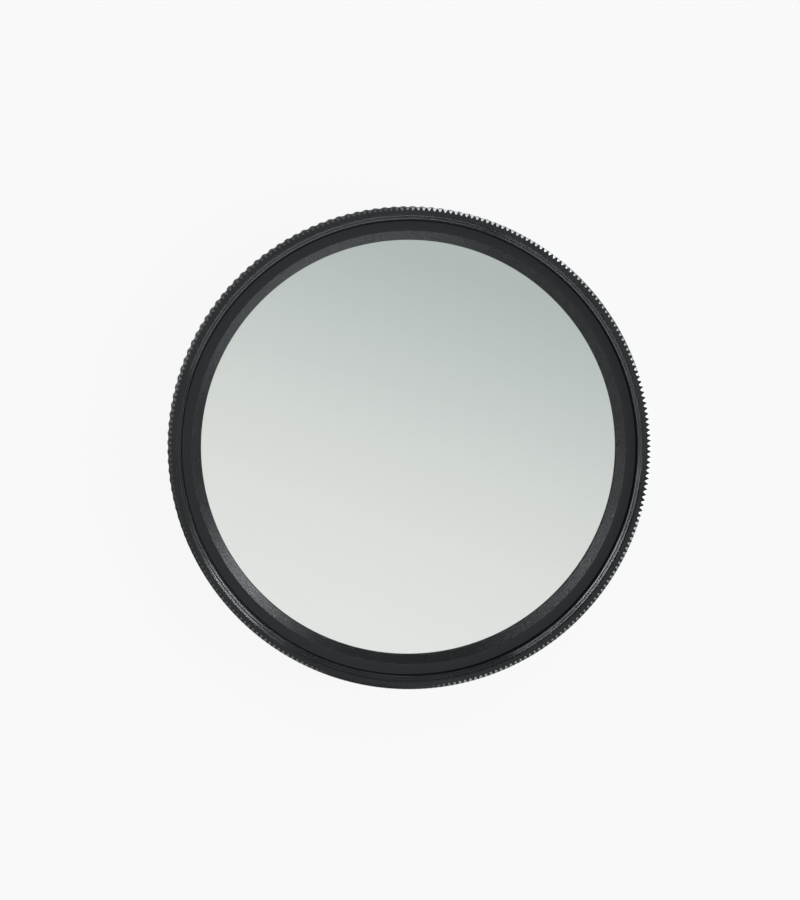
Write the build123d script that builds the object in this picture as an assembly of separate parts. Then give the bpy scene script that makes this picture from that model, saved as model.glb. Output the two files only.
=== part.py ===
"""Screw-in lens filter: graduated glass in a mount whose front ring turns.

Millimetres. The optical axis is Z, the lens is below and the subject above. Z = 0 is the end of
the male thread, on which the filter lies when it is put down.
"""
from build123d import *
from math import cos, pi, radians, sin
import os

# Filter thread, the same behind and in front
thread_diameter = 52.0
thread_pitch = 0.75
thread_depth_share = 0.5413

# Rear ring, which stays still on the lens
male_thread_length = 2.2
male_thread_wall = 1.4
rear_flange_width = 0.64
rear_knurl_depth = 0.4
rear_knurl_pitch = 1.066
rear_web_thickness = 0.7
rear_groove_wall = 0.51

# Front ring, which turns
front_thread_length = 1.12
front_thread_clear_depth = 0.2
front_thread_undercut = 0.3
mouth_chamfer = 0.58
front_flat_width = 0.47
front_notch_depth = 0.3
front_notch_pitch = 0.61
front_notch_length = 0.35
front_band_step = 0.02
sleeve_groove_wall = 0.39
seat_thickness = 0.25
lip_width = 1.64
lip_thickness = 0.5

# Glass, and the ring that holds it down
glass_thickness = 1.6
retainer_thickness = 1.0
retainer_gap = 0.15
retainer_face_width = 1.144
retainer_bevel_width = 0.99

# Spring wire that snaps the two rings together
wire_size = 0.5
wire_grip = 0.22
wire_end_gap = 20.0

# Clearances
turning_clearance = 0.06
sleeve_end_clearance = 0.1
ring_gap = 0.15
glass_clearance = 0.05
wire_side_clearance = 0.03
wire_seat_clearance = 0.01
wire_squeeze_clearance = 0.05

# Knurling: metal on the blank outside the teeth, and where the first tooth stands
knurl_blank_allowance = 0.5
first_tooth_share = 0.37

# Heights, from the end of the male thread upwards
shoulder_z = male_thread_length
counterbore_z = shoulder_z + rear_web_thickness
sleeve_z = counterbore_z + sleeve_end_clearance
glass_z = sleeve_z + lip_thickness
retainer_z = glass_z + glass_thickness
retainer_face_z = retainer_z + retainer_thickness
front_rim_z = retainer_z - seat_thickness
rear_top_z = front_rim_z - ring_gap
wire_z = (counterbore_z + rear_top_z) / 2
wire_low_z = wire_z - wire_size / 2
wire_high_z = wire_z + wire_size / 2
front_thread_z = retainer_face_z + front_thread_clear_depth
mouth_z = front_thread_z + front_thread_length
front_z = mouth_z + mouth_chamfer
front_notch_z = front_z - front_notch_length

# Radii of the rear ring, from the thread outwards and back to the wire
male_radius = thread_diameter / 2
rear_aperture_radius = male_radius - male_thread_wall
rear_valley_radius = male_radius + rear_flange_width
rear_tip_radius = rear_valley_radius + rear_knurl_depth
rear_groove_radius = rear_valley_radius - rear_groove_wall
wire_outer_radius = rear_groove_radius - wire_seat_clearance
wire_inner_radius = wire_outer_radius - wire_size
counterbore_radius = wire_outer_radius - wire_grip

# Radii of the front ring and of what it holds
sleeve_radius = counterbore_radius - turning_clearance
sleeve_groove_radius = sleeve_radius - wire_size - wire_squeeze_clearance
pocket_radius = sleeve_groove_radius - sleeve_groove_wall
glass_radius = pocket_radius - glass_clearance
lip_radius = pocket_radius - lip_width
female_radius = male_radius - thread_depth_share * thread_pitch
mouth_radius = female_radius + mouth_chamfer
front_valley_radius = mouth_radius + front_flat_width
front_tip_radius = front_valley_radius + front_notch_depth
front_band_radius = front_tip_radius + front_band_step
retainer_radius = female_radius - retainer_gap
retainer_face_radius = retainer_radius - retainer_face_width
retainer_bore_radius = retainer_face_radius - retainer_bevel_width


def turned(*points):
    """A ring turned about Z from its section, given as (radius, height) points."""
    return revolve(make_face(Plane.XZ * Polyline(*points, close=True)), Axis.Z)


def knurled_bar(tip_radius, depth, pitch, height):
    """A bar with straight V teeth all round, as many whole teeth as the pitch allows."""
    count = round(2 * pi * tip_radius / pitch)
    outline = []
    for corner in range(2 * count):
        angle = radians(360 * (corner / 2 + first_tooth_share) / count)
        radius = tip_radius - depth * (corner % 2)
        outline.append((radius * cos(angle), radius * sin(angle)))
    return extrude(make_face(Polyline(*outline, close=True)), height)


def make_rear_ring():
    """Male thread, coarse knurled rim, and the counterbore, whose lip tapers in over the wire."""
    blank_radius = rear_tip_radius + knurl_blank_allowance
    groove_top_z = wire_high_z + wire_side_clearance
    blank = turned(
        (rear_aperture_radius, 0),
        (male_radius, 0),
        (male_radius, shoulder_z),
        (blank_radius, shoulder_z),
        (blank_radius, rear_top_z),
        (counterbore_radius, rear_top_z),
        (rear_groove_radius, groove_top_z),
        (rear_groove_radius, counterbore_z),
        (rear_aperture_radius, counterbore_z),
    )
    return blank & knurled_bar(rear_tip_radius, rear_knurl_depth, rear_knurl_pitch, rear_top_z)


def make_front_ring():
    """Rim with a finely notched front edge and the front thread, and the sleeve that carries the glass."""
    blank = turned(
        (lip_radius, sleeve_z),
        (sleeve_radius, sleeve_z),
        (sleeve_radius, wire_low_z - wire_side_clearance),
        (sleeve_groove_radius, wire_low_z - wire_side_clearance),
        (sleeve_groove_radius, wire_high_z + wire_side_clearance),
        (sleeve_radius, wire_high_z + wire_side_clearance),
        (sleeve_radius, front_rim_z),
        (front_band_radius, front_rim_z),
        (front_band_radius, front_z),
        (mouth_radius, front_z),
        (female_radius, mouth_z),
        (female_radius, front_thread_z),
        (female_radius + front_thread_undercut, retainer_z),
        (pocket_radius, retainer_z),
        (pocket_radius, glass_z),
        (lip_radius, glass_z),
    )
    edge = knurled_bar(front_tip_radius, front_notch_depth, front_notch_pitch, front_z)
    band = extrude(Circle(front_band_radius + knurl_blank_allowance), front_notch_z)
    return blank & (edge + band)


def make_retaining_ring():
    """Flat ring with a long inner bevel, screwed down on the glass."""
    return turned(
        (retainer_bore_radius, retainer_z),
        (retainer_radius, retainer_z),
        (retainer_radius, retainer_face_z),
        (retainer_face_radius, retainer_face_z),
    )


def make_filter_glass():
    """Plane glass disc."""
    disc = Cylinder(glass_radius, glass_thickness, align=(Align.CENTER, Align.CENTER, Align.MIN))
    return Pos(0, 0, glass_z) * disc


def make_snap_wire():
    """Square spring wire, open at one place so that it can be squeezed into the sleeve's groove."""
    hoop = turned(
        (wire_inner_radius, wire_low_z),
        (wire_outer_radius, wire_low_z),
        (wire_outer_radius, wire_high_z),
        (wire_inner_radius, wire_high_z),
    )
    cutter_depth = wire_outer_radius
    gap = Pos(wire_outer_radius, 0, wire_z) * Box(cutter_depth, wire_end_gap, 2 * wire_size)
    return hoop - gap


os.makedirs("parts", exist_ok=True)
export_step(make_rear_ring(), "parts/rear_ring.step")
export_step(make_front_ring(), "parts/front_ring.step")
export_step(make_retaining_ring(), "parts/retaining_ring.step")
export_step(make_filter_glass(), "parts/filter_glass.step")
export_step(make_snap_wire(), "parts/snap_wire.step")
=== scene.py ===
import math

import bpy
import numpy as np
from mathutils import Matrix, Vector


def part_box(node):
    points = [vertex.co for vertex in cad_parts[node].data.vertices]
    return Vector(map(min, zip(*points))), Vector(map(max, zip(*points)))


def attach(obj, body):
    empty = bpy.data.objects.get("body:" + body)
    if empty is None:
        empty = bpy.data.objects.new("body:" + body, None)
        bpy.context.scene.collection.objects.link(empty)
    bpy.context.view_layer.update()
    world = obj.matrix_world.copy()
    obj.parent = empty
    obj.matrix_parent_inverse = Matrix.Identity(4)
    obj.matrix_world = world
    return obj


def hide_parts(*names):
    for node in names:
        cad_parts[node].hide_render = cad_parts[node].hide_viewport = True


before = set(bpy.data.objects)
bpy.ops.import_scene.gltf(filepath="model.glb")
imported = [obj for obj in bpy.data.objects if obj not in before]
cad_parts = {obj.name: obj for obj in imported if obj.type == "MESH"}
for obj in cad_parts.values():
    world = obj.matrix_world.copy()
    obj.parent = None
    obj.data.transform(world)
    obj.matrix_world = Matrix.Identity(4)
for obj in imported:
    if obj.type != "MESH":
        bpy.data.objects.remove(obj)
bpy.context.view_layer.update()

# Sizes are in millimetres, and MM turns them into metres. Points closer than WELD metres become one
MM = 0.001
WELD = 2e-7

# How near a point has to be to count as at a corner, at the rim or in a row
CORNER_REACH = 0.001
RIM_REACH = 0.005
ROW_REACH = 0.004

# The filter thread, the same behind and in front. Each groove has a start, turns, and a width at its
# mouth and at its foot. The ends of the tool are lifted by a share of the groove's depth
thread_radius = 26.0
thread_pitch = 0.75
thread_lead = 0.35
male_root_radius = 25.54
male_groove_z = -0.45
male_groove_turns = 3
male_groove_widths = (0.66, 0.1)
female_radius = 25.594
female_groove_rise = 0.02
female_groove_turns = 1
female_groove_widths = (0.56, 0.09)
tool_columns = 240
tool_clearance = 0.05
tool_end_lift = 1.3

# Heights, from the end of the male thread up to the front face
shoulder_z = 2.2
counterbore_z = 2.9
sleeve_z = 3.0
glass_z = 3.5
rear_top_z = 4.7
front_rim_z = 4.85
retainer_z = 5.1
retainer_face_z = 6.1
front_thread_z = 6.3
mouth_z = 7.42
front_z = 8.0
wire_z = 3.8
wire_groove_half = 0.28
relief_height = 0.4
relief_floor_height = 0.3

# Radii of the rear ring
rear_aperture_radius = 24.6
thread_relief_radius = 25.5
counterbore_radius = 25.9
rear_groove_radius = 26.13
rear_valley_radius = 26.64
rear_tip_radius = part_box("rear_ring")[1].x / MM

# Radii of the front ring, the retaining ring, the glass and the wire, with bevels and the wire's gap
lip_radius = 23.26
pocket_radius = 24.9
sleeve_groove_radius = 25.29
sleeve_radius = 25.84
undercut_radius = 25.894
mouth_radius = 26.174
front_band_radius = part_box("front_ring")[1].x / MM
retainer_bore_radius = 23.31
retainer_face_radius = 24.30
retainer_radius = 25.444
retainer_lead = 0.055
retainer_land = 0.03
glass_radius = 24.85
glass_bevel = 0.12
wire_centre_radius = 25.87
wire_radius = 0.24
wire_gap_angle = 0.79

# Columns round the plain pieces, and sides of the wire's round section
retainer_columns = 512
glass_columns = 384
wire_columns = 240
wire_sides = 14

# Roundings of the edges
aperture_foot_edge = 0.08
aperture_edge = 0.06
knurl_edge = 0.03
counterbore_edge = 0.05
front_edge = 0.1
mouth_edge = 0.03
thread_edge = 0.02
retainer_edge = 0.05

# Coarse knurl of the rear ring: whole teeth, the bevel on their ends, and the height of a tooth at
# each of its columns, from 0 in the valley to 1 at the tip
rear_teeth = 160
rear_tooth_end = 0.06
rear_tooth_form = (0.0, 0.62, 0.87, 0.97, 1.0, 0.97, 0.87, 0.62)

# Notches in the front ring's edge: their width at the root, the width of the metal left between
# them at the rim, and the height, radius and opening, from root to rim, of each corner of the floor
front_teeth = 278
front_notch_root = 0.1
front_tooth_tip = 0.08
front_notch_radius = 26.63
front_notch_floor = (
    (front_z, front_notch_radius, 0.0),
    (7.79, front_notch_radius, 0.0),
    (7.727, 26.8, 0.5),
    (7.655, front_band_radius, 0.98))

# The tool cuts on the mouth: where they begin, as a share of its width, and their depths
mouth_smooth_share = 0.08
mouth_cuts = (0.022, 0.024)


def select_none():
    if bpy.context.object and bpy.context.object.mode != "OBJECT":
        bpy.ops.object.mode_set(mode="OBJECT")
    bpy.ops.object.select_all(action="DESELECT")


def select_points(piece, chosen):
    """Opens a piece for editing and picks the points where chosen(radius, height, angle) is true."""
    bpy.ops.object.mode_set(mode="OBJECT")
    mesh = piece.data
    points = np.empty(3 * len(mesh.vertices))
    mesh.vertices.foreach_get("co", points)
    x, y, z = points.reshape(-1, 3).T / MM
    picked = chosen(np.hypot(x, y), z, np.arctan2(y, x))
    mesh.polygons.foreach_set("select", np.zeros(len(mesh.polygons), bool))
    mesh.edges.foreach_set("select", np.zeros(len(mesh.edges), bool))
    mesh.vertices.foreach_set("select", picked)
    bpy.ops.object.mode_set(mode="EDIT")
    bpy.ops.mesh.select_mode(type="VERT")


def draw_section(name, corners):
    """Draws a closed section in the XZ plane, point by point, and rounds the corners that have a radius."""
    select_none()
    bpy.ops.mesh.primitive_plane_add(size=MM)
    piece = bpy.context.object
    piece.name = name
    piece.data.name = name
    bpy.ops.object.mode_set(mode="EDIT")
    bpy.ops.mesh.select_mode(type="VERT")
    bpy.ops.mesh.select_all(action="SELECT")
    bpy.ops.mesh.merge(type="CENTER")
    radius, height = corners[0][:2]
    bpy.ops.transform.translate(value=(radius * MM, 0, height * MM))
    for corner in [*corners[1:], corners[0]]:
        step = ((corner[0] - radius) * MM, 0, (corner[1] - height) * MM)
        bpy.ops.mesh.extrude_region_move(TRANSFORM_OT_translate={"value": step})
        radius, height = corner[:2]
    bpy.ops.mesh.select_all(action="SELECT")
    bpy.ops.mesh.remove_doubles(threshold=WELD)
    for size in sorted({corner[2] for corner in corners if len(corner) > 2}):
        spots = [corner[:2] for corner in corners if corner[2:] == (size,)]

        def at_spot(r, z, angle):
            return np.any([np.hypot(r - spot[0], z - spot[1]) < CORNER_REACH for spot in spots], axis=0)

        select_points(piece, at_spot)
        bpy.ops.mesh.bevel(offset=size * MM, affect="VERTICES", segments=3, clamp_overlap=True)
    return piece


def spin_round(piece, columns, angle=2 * math.pi, rise=0.0, turns=1):
    """Turns the section about Z, climbing by rise millimetres in each turn, and welds the seam."""
    bpy.ops.object.mode_set(mode="OBJECT")
    turning = piece.modifiers.new("turning", "SCREW")
    turning.angle = angle
    turning.steps = columns
    turning.render_steps = columns
    turning.screw_offset = rise * MM
    turning.iterations = turns
    turning.use_merge_vertices = rise == 0
    turning.merge_threshold = WELD
    bpy.ops.object.modifier_apply(modifier="turning")
    bpy.ops.object.mode_set(mode="EDIT")
    bpy.ops.mesh.select_all(action="SELECT")
    bpy.ops.mesh.remove_doubles(threshold=WELD)


def finish_piece(piece, smooth_angle):
    bpy.ops.mesh.select_all(action="SELECT")
    bpy.ops.mesh.normals_make_consistent(inside=False)
    bpy.ops.object.mode_set(mode="OBJECT")
    bpy.ops.object.shade_smooth_by_angle(angle=math.radians(smooth_angle))


def knurl(piece, teeth, tip_radius, valley_radius, form):
    """Presses straight teeth into the rim, column by column."""
    column_angle = 2 * math.pi / (teeth * len(form))
    for height in sorted(set(form) - {1.0}):
        radius = valley_radius + height * (tip_radius - valley_radius)

        def is_low(r, z, angle):
            column = np.round(angle / column_angle).astype(int) % len(form)
            return (r > tip_radius - RIM_REACH) & (np.take(form, column) == height)

        select_points(piece, is_low)
        press = radius / tip_radius
        bpy.ops.transform.resize(value=(press, press, 1), center_override=(0, 0, 0))


def notch_edge(piece):
    """Presses the notches into the front edge, with upright flanks and a floor that runs out at the rim."""
    step = 2 * math.pi / (front_teeth * 4)
    root = front_notch_root / front_band_radius / 2
    mouth = 2 * step - front_tooth_tip / front_band_radius / 2
    floor_z = front_notch_floor[-1][0]

    def move_column(wanted, low_z, high_z, radius, turn):

        def is_wanted(r, z, angle):
            column = np.round(angle / step).astype(int) % 4
            at_rim = r > front_band_radius - RIM_REACH
            in_rows = (z > low_z - ROW_REACH) & (z < high_z + ROW_REACH)
            return at_rim & in_rows & (column == wanted)

        select_points(piece, is_wanted)
        press = radius / front_band_radius
        bpy.ops.transform.resize(value=(press, press, 1), center_override=(0, 0, 0))
        bpy.ops.transform.rotate(value=turn, orient_axis="Z", center_override=(0, 0, 0))

    move_column(1, floor_z, front_z, front_band_radius, 1.5 * step - mouth)
    move_column(2, floor_z, front_z, front_band_radius, mouth - 1.5 * step)
    for height, radius, opening in front_notch_floor:
        narrowing = step / 2 - root - opening * (mouth - root)
        move_column(0, height, height, radius, narrowing)
        move_column(3, height, height, radius, -narrowing)


def cut_thread(piece, low_z, turns, mouth, foot, mouth_width, foot_width):
    """Cuts a helical groove into a piece, from the mouth radius to the foot radius, with a V tool."""
    bpy.ops.mesh.select_all(action="SELECT")
    bpy.ops.mesh.normals_make_consistent(inside=False)
    bpy.ops.object.mode_set(mode="OBJECT")
    outside = math.copysign(tool_clearance, mouth - foot)
    slope = (mouth_width - foot_width) / 2 / abs(mouth - foot)
    half_mouth = mouth_width / 2 + slope * abs(outside)
    half_foot = foot_width / 2
    tool = draw_section("thread_tool", [
        (mouth + outside, low_z - half_mouth),
        (foot, low_z - half_foot),
        (foot, low_z + half_foot),
        (mouth + outside, low_z + half_mouth),
    ])
    spin_round(tool, tool_columns, rise=thread_pitch, turns=turns)
    bpy.ops.mesh.select_all(action="DESELECT")
    bpy.ops.mesh.select_non_manifold()
    lift = 1 + tool_end_lift * (mouth - foot) / foot
    bpy.ops.transform.resize(value=(lift, lift, 1), center_override=(0, 0, 0))
    bpy.ops.mesh.fill_holes(sides=4)
    bpy.ops.mesh.select_all(action="SELECT")
    bpy.ops.mesh.normals_make_consistent(inside=False)
    select_none()
    piece.select_set(True)
    bpy.context.view_layer.objects.active = piece
    cut = piece.modifiers.new("thread", "BOOLEAN")
    cut.operation = "DIFFERENCE"
    cut.solver = "EXACT"
    cut.object = tool
    bpy.ops.object.modifier_apply(modifier="thread")
    bpy.data.objects.remove(tool)
    bpy.ops.object.mode_set(mode="EDIT")


rear_section = [
    (rear_aperture_radius, 0.0, aperture_foot_edge),
    (thread_radius - thread_lead, 0.0),
    (thread_radius, thread_lead),
    (thread_radius, shoulder_z - relief_height),
    (thread_relief_radius, shoulder_z - relief_floor_height),
    (thread_relief_radius, shoulder_z),
    (rear_valley_radius, shoulder_z, knurl_edge),
    (rear_tip_radius, shoulder_z + rear_tooth_end),
    (rear_tip_radius, rear_top_z - rear_tooth_end),
    (rear_valley_radius, rear_top_z, knurl_edge),
    (counterbore_radius, rear_top_z, counterbore_edge),
    (rear_groove_radius, wire_z + wire_groove_half),
    (rear_groove_radius, counterbore_z),
    (rear_aperture_radius, counterbore_z, aperture_edge),
]
rear_ring = draw_section("rear_ring_turned", rear_section)
spin_round(rear_ring, rear_teeth * len(rear_tooth_form))
knurl(rear_ring, rear_teeth, rear_tip_radius, rear_valley_radius, rear_tooth_form)
cut_thread(
    rear_ring, male_groove_z, male_groove_turns, thread_radius, male_root_radius, *male_groove_widths)
finish_piece(rear_ring, smooth_angle=25)


def scalloped(start, end, depths):
    """The points of a run of round tool cuts from start to end, hollow towards the metal."""
    along = np.subtract(end, start)
    into_metal = np.array((-along[1], along[0])) / np.hypot(*along)
    points = []
    for step in range(1, 4 * len(depths)):
        hollow = depths[step // 4] * (1 - (step % 4 / 2 - 1) ** 2)
        points.append(tuple(np.add(start, along * step / (4 * len(depths))) + into_metal * hollow))
    return points


mouth_cut_start = (
    mouth_radius + mouth_smooth_share * (female_radius - mouth_radius),
    front_z + mouth_smooth_share * (mouth_z - front_z))
front_section = [
    (lip_radius, sleeve_z, front_edge),
    (sleeve_radius, sleeve_z, front_edge),
    (sleeve_radius, wire_z - wire_groove_half),
    (sleeve_groove_radius, wire_z - wire_groove_half),
    (sleeve_groove_radius, wire_z + wire_groove_half),
    (sleeve_radius, wire_z + wire_groove_half),
    (sleeve_radius, front_rim_z),
    (front_band_radius, front_rim_z, front_edge),
    *((front_band_radius, corner[0]) for corner in reversed(front_notch_floor)),
    (mouth_radius, front_z),
    mouth_cut_start,
    *scalloped(mouth_cut_start, (female_radius, mouth_z), mouth_cuts),
    (female_radius, mouth_z, mouth_edge),
    (female_radius, front_thread_z, thread_edge),
    (undercut_radius, retainer_z),
    (pocket_radius, retainer_z),
    (pocket_radius, glass_z),
    (lip_radius, glass_z, front_edge),
]
front_ring = draw_section("front_ring_turned", front_section)
spin_round(front_ring, front_teeth * 4)
notch_edge(front_ring)
cut_thread(
    front_ring, front_thread_z + female_groove_rise, female_groove_turns,
    female_radius, thread_radius, *female_groove_widths)
finish_piece(front_ring, smooth_angle=20)

retainer_section = [
    (retainer_bore_radius, retainer_z),
    (retainer_radius, retainer_z, retainer_edge),
    (retainer_radius, retainer_face_z - retainer_lead),
    (retainer_radius - retainer_lead, retainer_face_z),
    (retainer_face_radius, retainer_face_z),
    (retainer_bore_radius, retainer_z + retainer_land),
]
retaining_ring = draw_section("retaining_ring_turned", retainer_section)
spin_round(retaining_ring, retainer_columns)
finish_piece(retaining_ring, smooth_angle=8)

select_none()
bpy.ops.mesh.primitive_cylinder_add(
    vertices=glass_columns, radius=glass_radius * MM, depth=(retainer_z - glass_z) * MM,
    location=(0, 0, (retainer_z + glass_z) / 2 * MM))
filter_glass = bpy.context.object
filter_glass.name = "filter_glass_disc"
filter_glass.data.name = "filter_glass_disc"
bpy.ops.object.transform_apply(location=True, rotation=True, scale=True)
bpy.ops.object.mode_set(mode="EDIT")
bpy.ops.mesh.select_mode(type="EDGE")
bpy.ops.mesh.select_all(action="DESELECT")
bpy.ops.mesh.edges_select_sharp(sharpness=math.radians(60))
bpy.ops.mesh.bevel(offset=glass_bevel * MM, affect="EDGES", segments=1)
finish_piece(filter_glass, smooth_angle=25)

select_none()
bpy.ops.mesh.primitive_circle_add(
    vertices=wire_sides, radius=wire_radius * MM, location=(wire_centre_radius * MM, 0, wire_z * MM),
    rotation=(math.pi / 2, 0, 0))
snap_wire = bpy.context.object
snap_wire.name = "snap_wire_hoop"
snap_wire.data.name = "snap_wire_hoop"
bpy.ops.object.transform_apply(location=True, rotation=True, scale=True)
spin_round(snap_wire, wire_columns, angle=2 * math.pi - wire_gap_angle)
bpy.ops.transform.rotate(value=-wire_gap_angle / 2, orient_axis="Z", center_override=(0, 0, 0))
bpy.ops.mesh.select_all(action="DESELECT")
bpy.ops.mesh.select_non_manifold()
bpy.ops.mesh.fill_holes(sides=wire_sides)
finish_piece(snap_wire, smooth_angle=40)

for piece, node, body, slot in (
    (rear_ring, "rear_ring", "rear", "black_anodised_rear"),
    (front_ring, "front_ring", "front", "black_anodised_front"),
    (retaining_ring, "retaining_ring", "front", "black_anodised_matt"),
    (filter_glass, "filter_glass", "front", "graduated_glass"),
    (snap_wire, "snap_wire", "rear", "spring_steel"),
):
    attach(piece, body)
    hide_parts(node)


def add_node(tree, kind, **settings):
    node = tree.nodes.new(kind)
    for key, value in settings.items():
        setattr(node, key, value)
    return node


def make_group(name, inputs, outputs):
    """An empty shader group with named sockets. Returns the tree and its two end nodes."""
    tree = bpy.data.node_groups.new(name, "ShaderNodeTree")
    for socket, kind, value in inputs:
        made = tree.interface.new_socket(name=socket, in_out="INPUT", socket_type=kind)
        if value is not None:
            made.default_value = value
    for socket, kind in outputs:
        tree.interface.new_socket(name=socket, in_out="OUTPUT", socket_type=kind)
    return tree, add_node(tree, "NodeGroupInput"), add_node(tree, "NodeGroupOutput")


def make_turning_marks():
    """Fine rings left by the turning tool: they follow the radius on a face and the height on a rim."""
    tree, entry, out = make_group(
        "turning_marks",
        [("Place", "NodeSocketVector", None), ("Lines", "NodeSocketFloat", 9000.0)],
        [("Height", "NodeSocketFloat"), ("Cloud", "NodeSocketFloat")])
    split = add_node(tree, "ShaderNodeSeparateXYZ")
    flat = add_node(tree, "ShaderNodeVectorMath", operation="MULTIPLY")
    flat.inputs[1].default_value = (1, 1, 0)
    radius = add_node(tree, "ShaderNodeVectorMath", operation="LENGTH")
    along = add_node(tree, "ShaderNodeCombineXYZ")
    lines = add_node(tree, "ShaderNodeTexNoise", noise_dimensions="2D")
    lines.inputs["Detail"].default_value = 1.0
    lines.inputs["Roughness"].default_value = 0.7
    cloud = add_node(tree, "ShaderNodeTexNoise")
    cloud.inputs["Scale"].default_value = 140.0
    cloud.inputs["Detail"].default_value = 3.0
    link = tree.links.new
    link(entry.outputs["Place"], split.inputs[0])
    link(entry.outputs["Place"], flat.inputs[0])
    link(flat.outputs[0], radius.inputs[0])
    link(radius.outputs["Value"], along.inputs["X"])
    link(split.outputs["Z"], along.inputs["Y"])
    link(along.outputs[0], lines.inputs["Vector"])
    link(entry.outputs["Lines"], lines.inputs["Scale"])
    link(entry.outputs["Place"], cloud.inputs["Vector"])
    link(lines.outputs["Fac"], out.inputs["Height"])
    link(cloud.outputs["Fac"], out.inputs["Cloud"])
    return tree


def make_blasted_grain():
    """The pitted skin that bead blasting leaves, and a mask of a few pits that are smoother and are painted
    lighter, a painted glint.
    """
    tree, entry, out = make_group(
        "blasted_grain",
        [("Place", "NodeSocketVector", None), ("Pits", "NodeSocketFloat", 7000.0)],
        [("Height", "NodeSocketFloat"), ("SmoothPitsPaintedGlint", "NodeSocketFloat")])
    pits = add_node(tree, "ShaderNodeTexNoise")
    pits.inputs["Detail"].default_value = 2.0
    pits.inputs["Roughness"].default_value = 0.6
    cells = add_node(tree, "ShaderNodeTexVoronoi")
    chance = add_node(tree, "ShaderNodeSeparateColor")
    smooth_pits_painted_glint = add_node(tree, "ShaderNodeMapRange")
    smooth_pits_painted_glint.inputs["From Min"].default_value = 0.82
    smooth_pits_painted_glint.inputs["From Max"].default_value = 1.0
    link = tree.links.new
    link(entry.outputs["Place"], pits.inputs["Vector"])
    link(entry.outputs["Pits"], pits.inputs["Scale"])
    link(entry.outputs["Place"], cells.inputs["Vector"])
    link(entry.outputs["Pits"], cells.inputs["Scale"])
    link(cells.outputs["Color"], chance.inputs[0])
    link(chance.outputs["Red"], smooth_pits_painted_glint.inputs["Value"])
    link(pits.outputs["Fac"], out.inputs["Height"])
    link(smooth_pits_painted_glint.outputs["Result"], out.inputs["SmoothPitsPaintedGlint"])
    return tree


def make_dust():
    """Sparse pale specks."""
    tree, entry, out = make_group(
        "dust_specks",
        [("Place", "NodeSocketVector", None), ("Spread", "NodeSocketFloat", 900.0),
         ("Share", "NodeSocketFloat", 0.1)],
        [("Mask", "NodeSocketFloat")])
    cells = add_node(tree, "ShaderNodeTexVoronoi")
    chance = add_node(tree, "ShaderNodeSeparateColor")
    kept = add_node(tree, "ShaderNodeMath", operation="LESS_THAN")
    speck = add_node(tree, "ShaderNodeMath", operation="LESS_THAN")
    speck.inputs[1].default_value = 0.045
    both = add_node(tree, "ShaderNodeMath", operation="MULTIPLY")
    link = tree.links.new
    link(entry.outputs["Place"], cells.inputs["Vector"])
    link(entry.outputs["Spread"], cells.inputs["Scale"])
    link(cells.outputs["Color"], chance.inputs[0])
    link(chance.outputs["Red"], kept.inputs[0])
    link(entry.outputs["Share"], kept.inputs[1])
    link(cells.outputs["Distance"], speck.inputs[0])
    link(kept.outputs[0], both.inputs[0])
    link(speck.outputs[0], both.inputs[1])
    link(both.outputs[0], out.inputs["Mask"])
    return tree


turning_marks = make_turning_marks()
blasted_grain = make_blasted_grain()
dust_specks = make_dust()
dust_spread = 700.0
dust_share = 0.05
dust_colour = (0.16, 0.16, 0.155, 1)


def place_group(tree, group, place, **values):
    node = add_node(tree, "ShaderNodeGroup", node_tree=group)
    tree.links.new(place, node.inputs["Place"])
    for socket, value in values.items():
        node.inputs[socket].default_value = value
    return node


def start_material(name):
    material = bpy.data.materials.new(name)
    material.use_nodes = True
    tree = material.node_tree
    shader = tree.nodes["Principled BSDF"]
    place = add_node(tree, "ShaderNodeTexCoord").outputs["Object"]
    return material, tree, shader, place


def ramp_colour(tree, value, low, high, from_min=0.0, from_max=1.0):
    """A colour that goes from low to high as value does."""
    spread = add_node(tree, "ShaderNodeMapRange")
    spread.inputs["From Min"].default_value = from_min
    spread.inputs["From Max"].default_value = from_max
    mix = add_node(tree, "ShaderNodeMix", data_type="RGBA")
    mix.inputs["A"].default_value = (*low, 1)
    mix.inputs["B"].default_value = (*high, 1)
    tree.links.new(value, spread.inputs["Value"])
    tree.links.new(spread.outputs["Result"], mix.inputs["Factor"])
    return mix


def ramp_value(tree, value, low, high, from_min=0.0, from_max=1.0):
    spread = add_node(tree, "ShaderNodeMapRange")
    spread.inputs["From Min"].default_value = from_min
    spread.inputs["From Max"].default_value = from_max
    spread.inputs["To Min"].default_value = low
    spread.inputs["To Max"].default_value = high
    tree.links.new(value, spread.inputs["Value"])
    return spread.outputs["Result"]


def make_anodised(name, dark, pale, smooth, rough, lines, line_strength):
    """Black anodised aluminium, turned: slightly uneven dye, fine rings and a little dust."""
    material, tree, shader, place = start_material(name)
    marks = place_group(tree, turning_marks, place, Lines=lines)
    dust = place_group(tree, dust_specks, place, Spread=dust_spread, Share=dust_share)
    dye = ramp_colour(tree, marks.outputs["Cloud"], dark, pale, 0.3, 0.7)
    dusty = add_node(tree, "ShaderNodeMix", data_type="RGBA")
    dusty.inputs["B"].default_value = dust_colour
    bump = add_node(tree, "ShaderNodeBump")
    bump.inputs["Strength"].default_value = line_strength
    bump.inputs["Distance"].default_value = 0.00002
    link = tree.links.new
    link(dye.outputs["Result"], dusty.inputs["A"])
    link(dust.outputs["Mask"], dusty.inputs["Factor"])
    link(dusty.outputs["Result"], shader.inputs["Base Color"])
    link(ramp_value(tree, marks.outputs["Cloud"], smooth, rough, 0.3, 0.7), shader.inputs["Roughness"])
    link(marks.outputs["Height"], bump.inputs["Height"])
    link(bump.outputs["Normal"], shader.inputs["Normal"])
    return material


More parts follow.
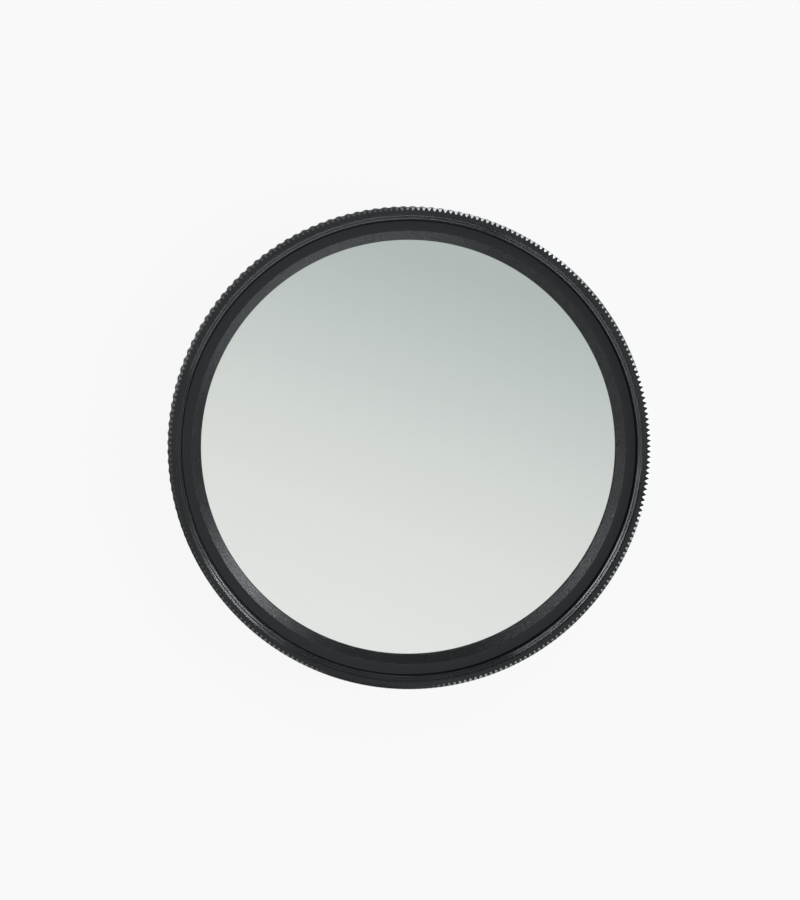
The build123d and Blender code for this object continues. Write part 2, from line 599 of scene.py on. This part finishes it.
def make_blasted():
    """Black anodised aluminium, bead blasted, with a front face that was turned smooth."""
    material, tree, shader, place = start_material("blasted_black")
    grain = place_group(tree, blasted_grain, place, Pits=11000.0)
    dust = place_group(tree, dust_specks, place, Spread=dust_spread, Share=dust_share)
    split = add_node(tree, "ShaderNodeSeparateXYZ")
    face_z = retainer_face_z * MM
    turned = ramp_value(tree, split.outputs["Z"], 0.0, 1.0, face_z - 0.006 * MM, face_z - 0.003 * MM)
    blasted = ramp_value(tree, turned, 1.0, 0.0)
    smooth_pits_painted_glint = add_node(tree, "ShaderNodeMath", operation="MULTIPLY")
    pits = add_node(tree, "ShaderNodeMath", operation="MULTIPLY")
    roughness = add_node(tree, "ShaderNodeMix", data_type="FLOAT")
    roughness.inputs["B"].default_value = 0.12
    # The masked pits get a lighter base colour, which is a painted glint; their lower roughness below is
    # real.
    skin = ramp_colour(tree, smooth_pits_painted_glint.outputs[0], (0.0024, 0.0025, 0.0026), (0.0066, 0.0068, 0.007))
    dusty = add_node(tree, "ShaderNodeMix", data_type="RGBA")
    dusty.inputs["B"].default_value = dust_colour
    bump = add_node(tree, "ShaderNodeBump")
    bump.inputs["Strength"].default_value = 0.25
    bump.inputs["Distance"].default_value = 0.00006
    shader.inputs["Specular IOR Level"].default_value = 0.34
    shader.inputs["Coat Roughness"].default_value = 0.12
    link = tree.links.new
    link(place, split.inputs[0])
    link(grain.outputs["SmoothPitsPaintedGlint"], smooth_pits_painted_glint.inputs[0])
    link(blasted, smooth_pits_painted_glint.inputs[1])
    link(grain.outputs["Height"], pits.inputs[0])
    link(blasted, pits.inputs[1])
    link(skin.outputs["Result"], dusty.inputs["A"])
    link(dust.outputs["Mask"], dusty.inputs["Factor"])
    link(dusty.outputs["Result"], shader.inputs["Base Color"])
    link(turned, roughness.inputs["Factor"])
    link(ramp_value(tree, smooth_pits_painted_glint.outputs[0], 0.28, 0.2), roughness.inputs["A"])
    link(roughness.outputs["Result"], shader.inputs["Roughness"])
    link(ramp_value(tree, turned, 0.0, 0.36), shader.inputs["Coat Weight"])
    link(pits.outputs[0], bump.inputs["Height"])
    link(bump.outputs["Normal"], shader.inputs["Normal"])
    return material


def make_graduated_glass():
    """Polished glass whose grey tint deepens across the disc."""
    material, tree, shader, place = start_material("graduated_glass")
    slant = add_node(tree, "ShaderNodeVectorMath", operation="DOT_PRODUCT")
    slant.inputs[1].default_value = (0.32, 0.947, 0)
    across = ramp_value(tree, slant.outputs["Value"], 0.0, 1.0, -0.0234, 0.0234)
    tint = add_node(tree, "ShaderNodeValToRGB")
    stops = tint.color_ramp.elements
    stops[0].position, stops[0].color = 0.04, (0.84, 0.864, 0.838, 1)
    stops[1].position, stops[1].color = 0.94, (0.485, 0.543, 0.522, 1)
    for position, colour in (
        (0.3, (0.79, 0.811, 0.786, 1)),
        (0.5, (0.709, 0.748, 0.718, 1)),
        (0.72, (0.595, 0.644, 0.62, 1)),
    ):
        stops.new(position).color = colour
    shader.inputs["Roughness"].default_value = 0.0
    shader.inputs["IOR"].default_value = 1.5
    shader.inputs["Transmission Weight"].default_value = 1.0
    link = tree.links.new
    link(place, slant.inputs[0])
    link(across, tint.inputs["Fac"])
    link(tint.outputs["Color"], shader.inputs["Base Color"])
    return material


def make_spring_steel():
    """Drawn wire, with scratches that run round with it."""
    material, tree, shader, place = start_material("spring_wire")
    marks = place_group(tree, turning_marks, place, Lines=16000.0)
    shade = ramp_colour(tree, marks.outputs["Cloud"], (0.36, 0.36, 0.355), (0.48, 0.48, 0.475), 0.3, 0.7)
    bump = add_node(tree, "ShaderNodeBump")
    bump.inputs["Strength"].default_value = 0.3
    bump.inputs["Distance"].default_value = 0.00002
    shader.inputs["Metallic"].default_value = 1.0
    link = tree.links.new
    link(shade.outputs["Result"], shader.inputs["Base Color"])
    link(ramp_value(tree, marks.outputs["Height"], 0.25, 0.4), shader.inputs["Roughness"])
    link(marks.outputs["Height"], bump.inputs["Height"])
    link(bump.outputs["Normal"], shader.inputs["Normal"])
    return material


def dress(piece, material):
    piece.data.materials.clear()
    piece.data.materials.append(material)


dress(rear_ring, make_anodised(
    "anodised_rear", dark=(0.0036, 0.0038, 0.004), pale=(0.0056, 0.006, 0.0063),
    smooth=0.3, rough=0.38, lines=4000.0, line_strength=0.2))
dress(front_ring, make_anodised(
    "anodised_front", dark=(0.002, 0.0021, 0.0022), pale=(0.0032, 0.0034, 0.0036),
    smooth=0.14, rough=0.18, lines=4000.0, line_strength=0.03))
dress(retaining_ring, make_blasted())
dress(filter_glass, make_graduated_glass())
dress(snap_wire, make_spring_steel())

# The pale table that the filter lies on, lit from inside as well as from above
select_none()
bpy.ops.mesh.primitive_plane_add(size=3.0, location=(0, 0, -0.02 * MM))
table = bpy.context.object
table.name = "studio_table"
table_paint, table_tree, table_shader, _ = start_material("studio_table")
table_shader.inputs["Base Color"].default_value = (0.01, 0.01, 0.01, 1)
table_shader.inputs["Roughness"].default_value = 1.0
table_shader.inputs["Specular IOR Level"].default_value = 0.0
table_shader.inputs["Emission Color"].default_value = (1, 1, 1, 1)
table_path = add_node(table_tree, "ShaderNodeLightPath")
table_glow = ramp_value(table_tree, table_path.outputs["Is Reflection Ray"], 0.915, 0.2)
table_tree.links.new(table_glow, table_shader.inputs["Emission Strength"])
dress(table, table_paint)


cool_white = (0.92, 0.98, 1.0)


def studio_light(name, clock_angle, elevation, distance, width, height, power):
    """A soft box that points at the filter. The clock angle is seen from the camera, from the top."""
    around = math.radians(clock_angle)
    up = math.radians(elevation)
    light = bpy.data.lights.new(name, "AREA")
    light.shape = "RECTANGLE"
    light.size = width
    light.size_y = height
    light.energy = power
    light.color = cool_white
    lamp = bpy.data.objects.new(name, light)
    bpy.context.scene.collection.objects.link(lamp)
    lamp.location = (
        distance * math.cos(up) * math.sin(around),
        distance * math.cos(up) * math.cos(around),
        distance * math.sin(up))
    lamp.rotation_euler = (math.pi / 2 - up, 0, math.pi - around)


# Low boxes, which show in the bevels, one overhead, which shows in the flat faces, and high ones, which
# show in the notches
studio_light("low_upper_right_softbox", 54, 7, 0.6, 0.2, 0.06, 0.52)
studio_light("low_upper_right_fill", 55, 7, 0.62, 0.42, 0.06, 0.3)
studio_light("low_upper_left_softbox", 302, 16, 0.6, 0.22, 0.05, 0.34)
studio_light("low_upper_left_fill", 303, 16, 0.62, 0.71, 0.05, 1.15)
studio_light("low_left_softbox", 237, 14, 0.6, 0.88, 0.05, 0.76)
studio_light("low_bottom_softbox", 154, 6, 0.6, 1.1, 0.05, 1.15)
studio_light("overhead_softbox", 110, 84, 1.2, 0.5, 0.5, 0.2)
studio_light("high_top_softbox", 25, 48, 0.6, 0.31, 0.15, 3.1)
studio_light("high_upper_right_softbox", 58, 48, 0.6, 0.3, 0.14, 2.4)
studio_light("high_right_softbox", 92, 44, 0.6, 0.28, 0.2, 6.0)
studio_light("high_bottom_softbox", 138, 46, 0.6, 0.5, 0.14, 2.4)
studio_light("high_left_softbox", 250, 51, 0.6, 0.9, 0.12, 1.3)
studio_light("high_upper_left_softbox", 329, 50, 0.6, 0.42, 0.14, 0.42)

world = bpy.context.scene.world or bpy.data.worlds.new("studio_air")
bpy.context.scene.world = world
world.use_nodes = True
world.node_tree.nodes["Background"].inputs["Color"].default_value = (0.262, 0.279, 0.292, 1)
bpy.context.scene.view_settings.view_transform = "Standard"

# The camera looks down on the front, a little from the top left
camera_tilt = (-0.042, -0.038)
camera_distance = 0.75
aim_point = (-1.085 * MM, -0.157 * MM, front_z * MM)
camera = bpy.data.cameras.new("photo_camera")
camera.sensor_width = 36
camera.lens = 268.6
photo_camera = bpy.data.objects.new("photo_camera", camera)
bpy.context.scene.collection.objects.link(photo_camera)
photo_camera.rotation_euler = (*camera_tilt, 0)
photo_camera.location = (
    aim_point[0] + camera_distance * math.cos(camera_tilt[0]) * math.sin(camera_tilt[1]),
    aim_point[1] - camera_distance * math.sin(camera_tilt[0]),
    aim_point[2] + camera_distance * math.cos(camera_tilt[0]) * math.cos(camera_tilt[1]))
bpy.context.scene.camera = photo_camera
